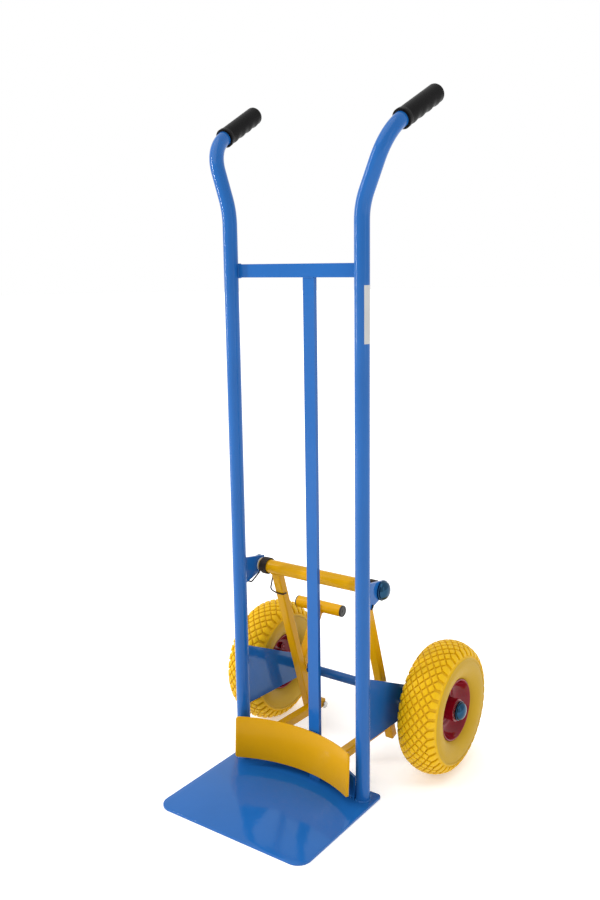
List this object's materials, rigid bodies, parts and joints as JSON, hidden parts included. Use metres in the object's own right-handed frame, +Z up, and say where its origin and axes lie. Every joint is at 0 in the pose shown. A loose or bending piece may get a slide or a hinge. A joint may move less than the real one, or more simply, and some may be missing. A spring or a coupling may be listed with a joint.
{
  "type": "hand truck",
  "caption": "Upright hand truck with solid yellow tyres, swept-back grips, a flat toe plate and a sprung yellow pusher that swings forward over the plate.",
  "frame": {"origin": "on the floor, in the middle of the outline seen from above", "axes": "+X to the right as seen by someone facing the truck's front, +Y to the rear, from the toe plate towards the wheels, +Z up"},
  "size_m": [0.5138, 0.5534, 1.2855],
  "materials": {
    "blue_enamel": "gloss enamel",
    "yellow_enamel": "gloss enamel",
    "red_enamel": "gloss enamel",
    "zinc_plate": "satin zinc plate",
    "axle_blue": "gloss enamel",
    "cap_blue_zinc": "polished",
    "grip_rubber": "satin",
    "tyre_foam": "satin",
    "spring_black": "satin",
    "black_plastic": "satin",
    "nylon": "satin",
    "label_paper": "satin"
  },
  "bodies": {
    "frame": {"left_upright": "blue_enamel", "right_upright": "blue_enamel", "left_side_plate": "blue_enamel", "right_side_plate": "blue_enamel", "left_pivot_bracket": "blue_enamel", "right_pivot_bracket": "blue_enamel", "cross_bar": "blue_enamel", "middle_bar": "blue_enamel", "heel_plate": "blue_enamel", "toe_plate": "blue_enamel", "wheel_axle": "axle_blue", "wheel_spacers": "axle_blue", "pivot_rod": "zinc_plate", "axle_caps": "cap_blue_zinc", "pivot_caps": "cap_blue_zinc", "outer_washers": "zinc_plate", "left_grip": "grip_rubber", "right_grip": "grip_rubber", "label": "label_paper", "left_spring": "spring_black", "right_spring": "spring_black"},
    "pusher": {"pivot_tube": "yellow_enamel", "pivot_bushes": "nylon", "left_arm": "yellow_enamel", "right_arm": "yellow_enamel", "left_push_bar": "yellow_enamel", "right_push_bar": "yellow_enamel", "pusher_plate": "yellow_enamel", "bar_bolts": "zinc_plate", "bar_nuts": "zinc_plate", "pedal_bar": "yellow_enamel", "pedal_stem": "yellow_enamel", "pedal_end_caps": "black_plastic"},
    "left_wheel": {"left_tyre": "tyre_foam", "left_rim_outer": "red_enamel", "left_rim_inner": "red_enamel", "left_hub": "red_enamel", "left_bearings": "zinc_plate", "left_rim_bolts": "red_enamel", "left_rim_nuts": "red_enamel"},
    "right_wheel": {"right_tyre": "tyre_foam", "right_rim_outer": "red_enamel", "right_rim_inner": "red_enamel", "right_hub": "red_enamel", "right_bearings": "zinc_plate", "right_rim_bolts": "red_enamel", "right_rim_nuts": "red_enamel"}
  },
  "joints": [
    {"name": "pusher_swing", "type": "hinge", "parent": "frame", "child": "pusher", "pos_m": [0, 0.0192, 0.396], "axis": [-1, 0, 0], "range_deg": [0, 18], "stiffness_Nm_per_rad": 6, "springref_deg": -34.38, "deforming": ["left_spring", "right_spring"]},
    {"name": "left_wheel_spin", "type": "hinge", "parent": "frame", "child": "left_wheel", "pos_m": [-0.2074, 0.1457, 0.131], "axis": [1, 0, 0], "continuous": true},
    {"name": "right_wheel_spin", "type": "hinge", "parent": "frame", "child": "right_wheel", "pos_m": [0.2074, 0.1457, 0.131], "axis": [1, 0, 0], "continuous": true}
  ]
}
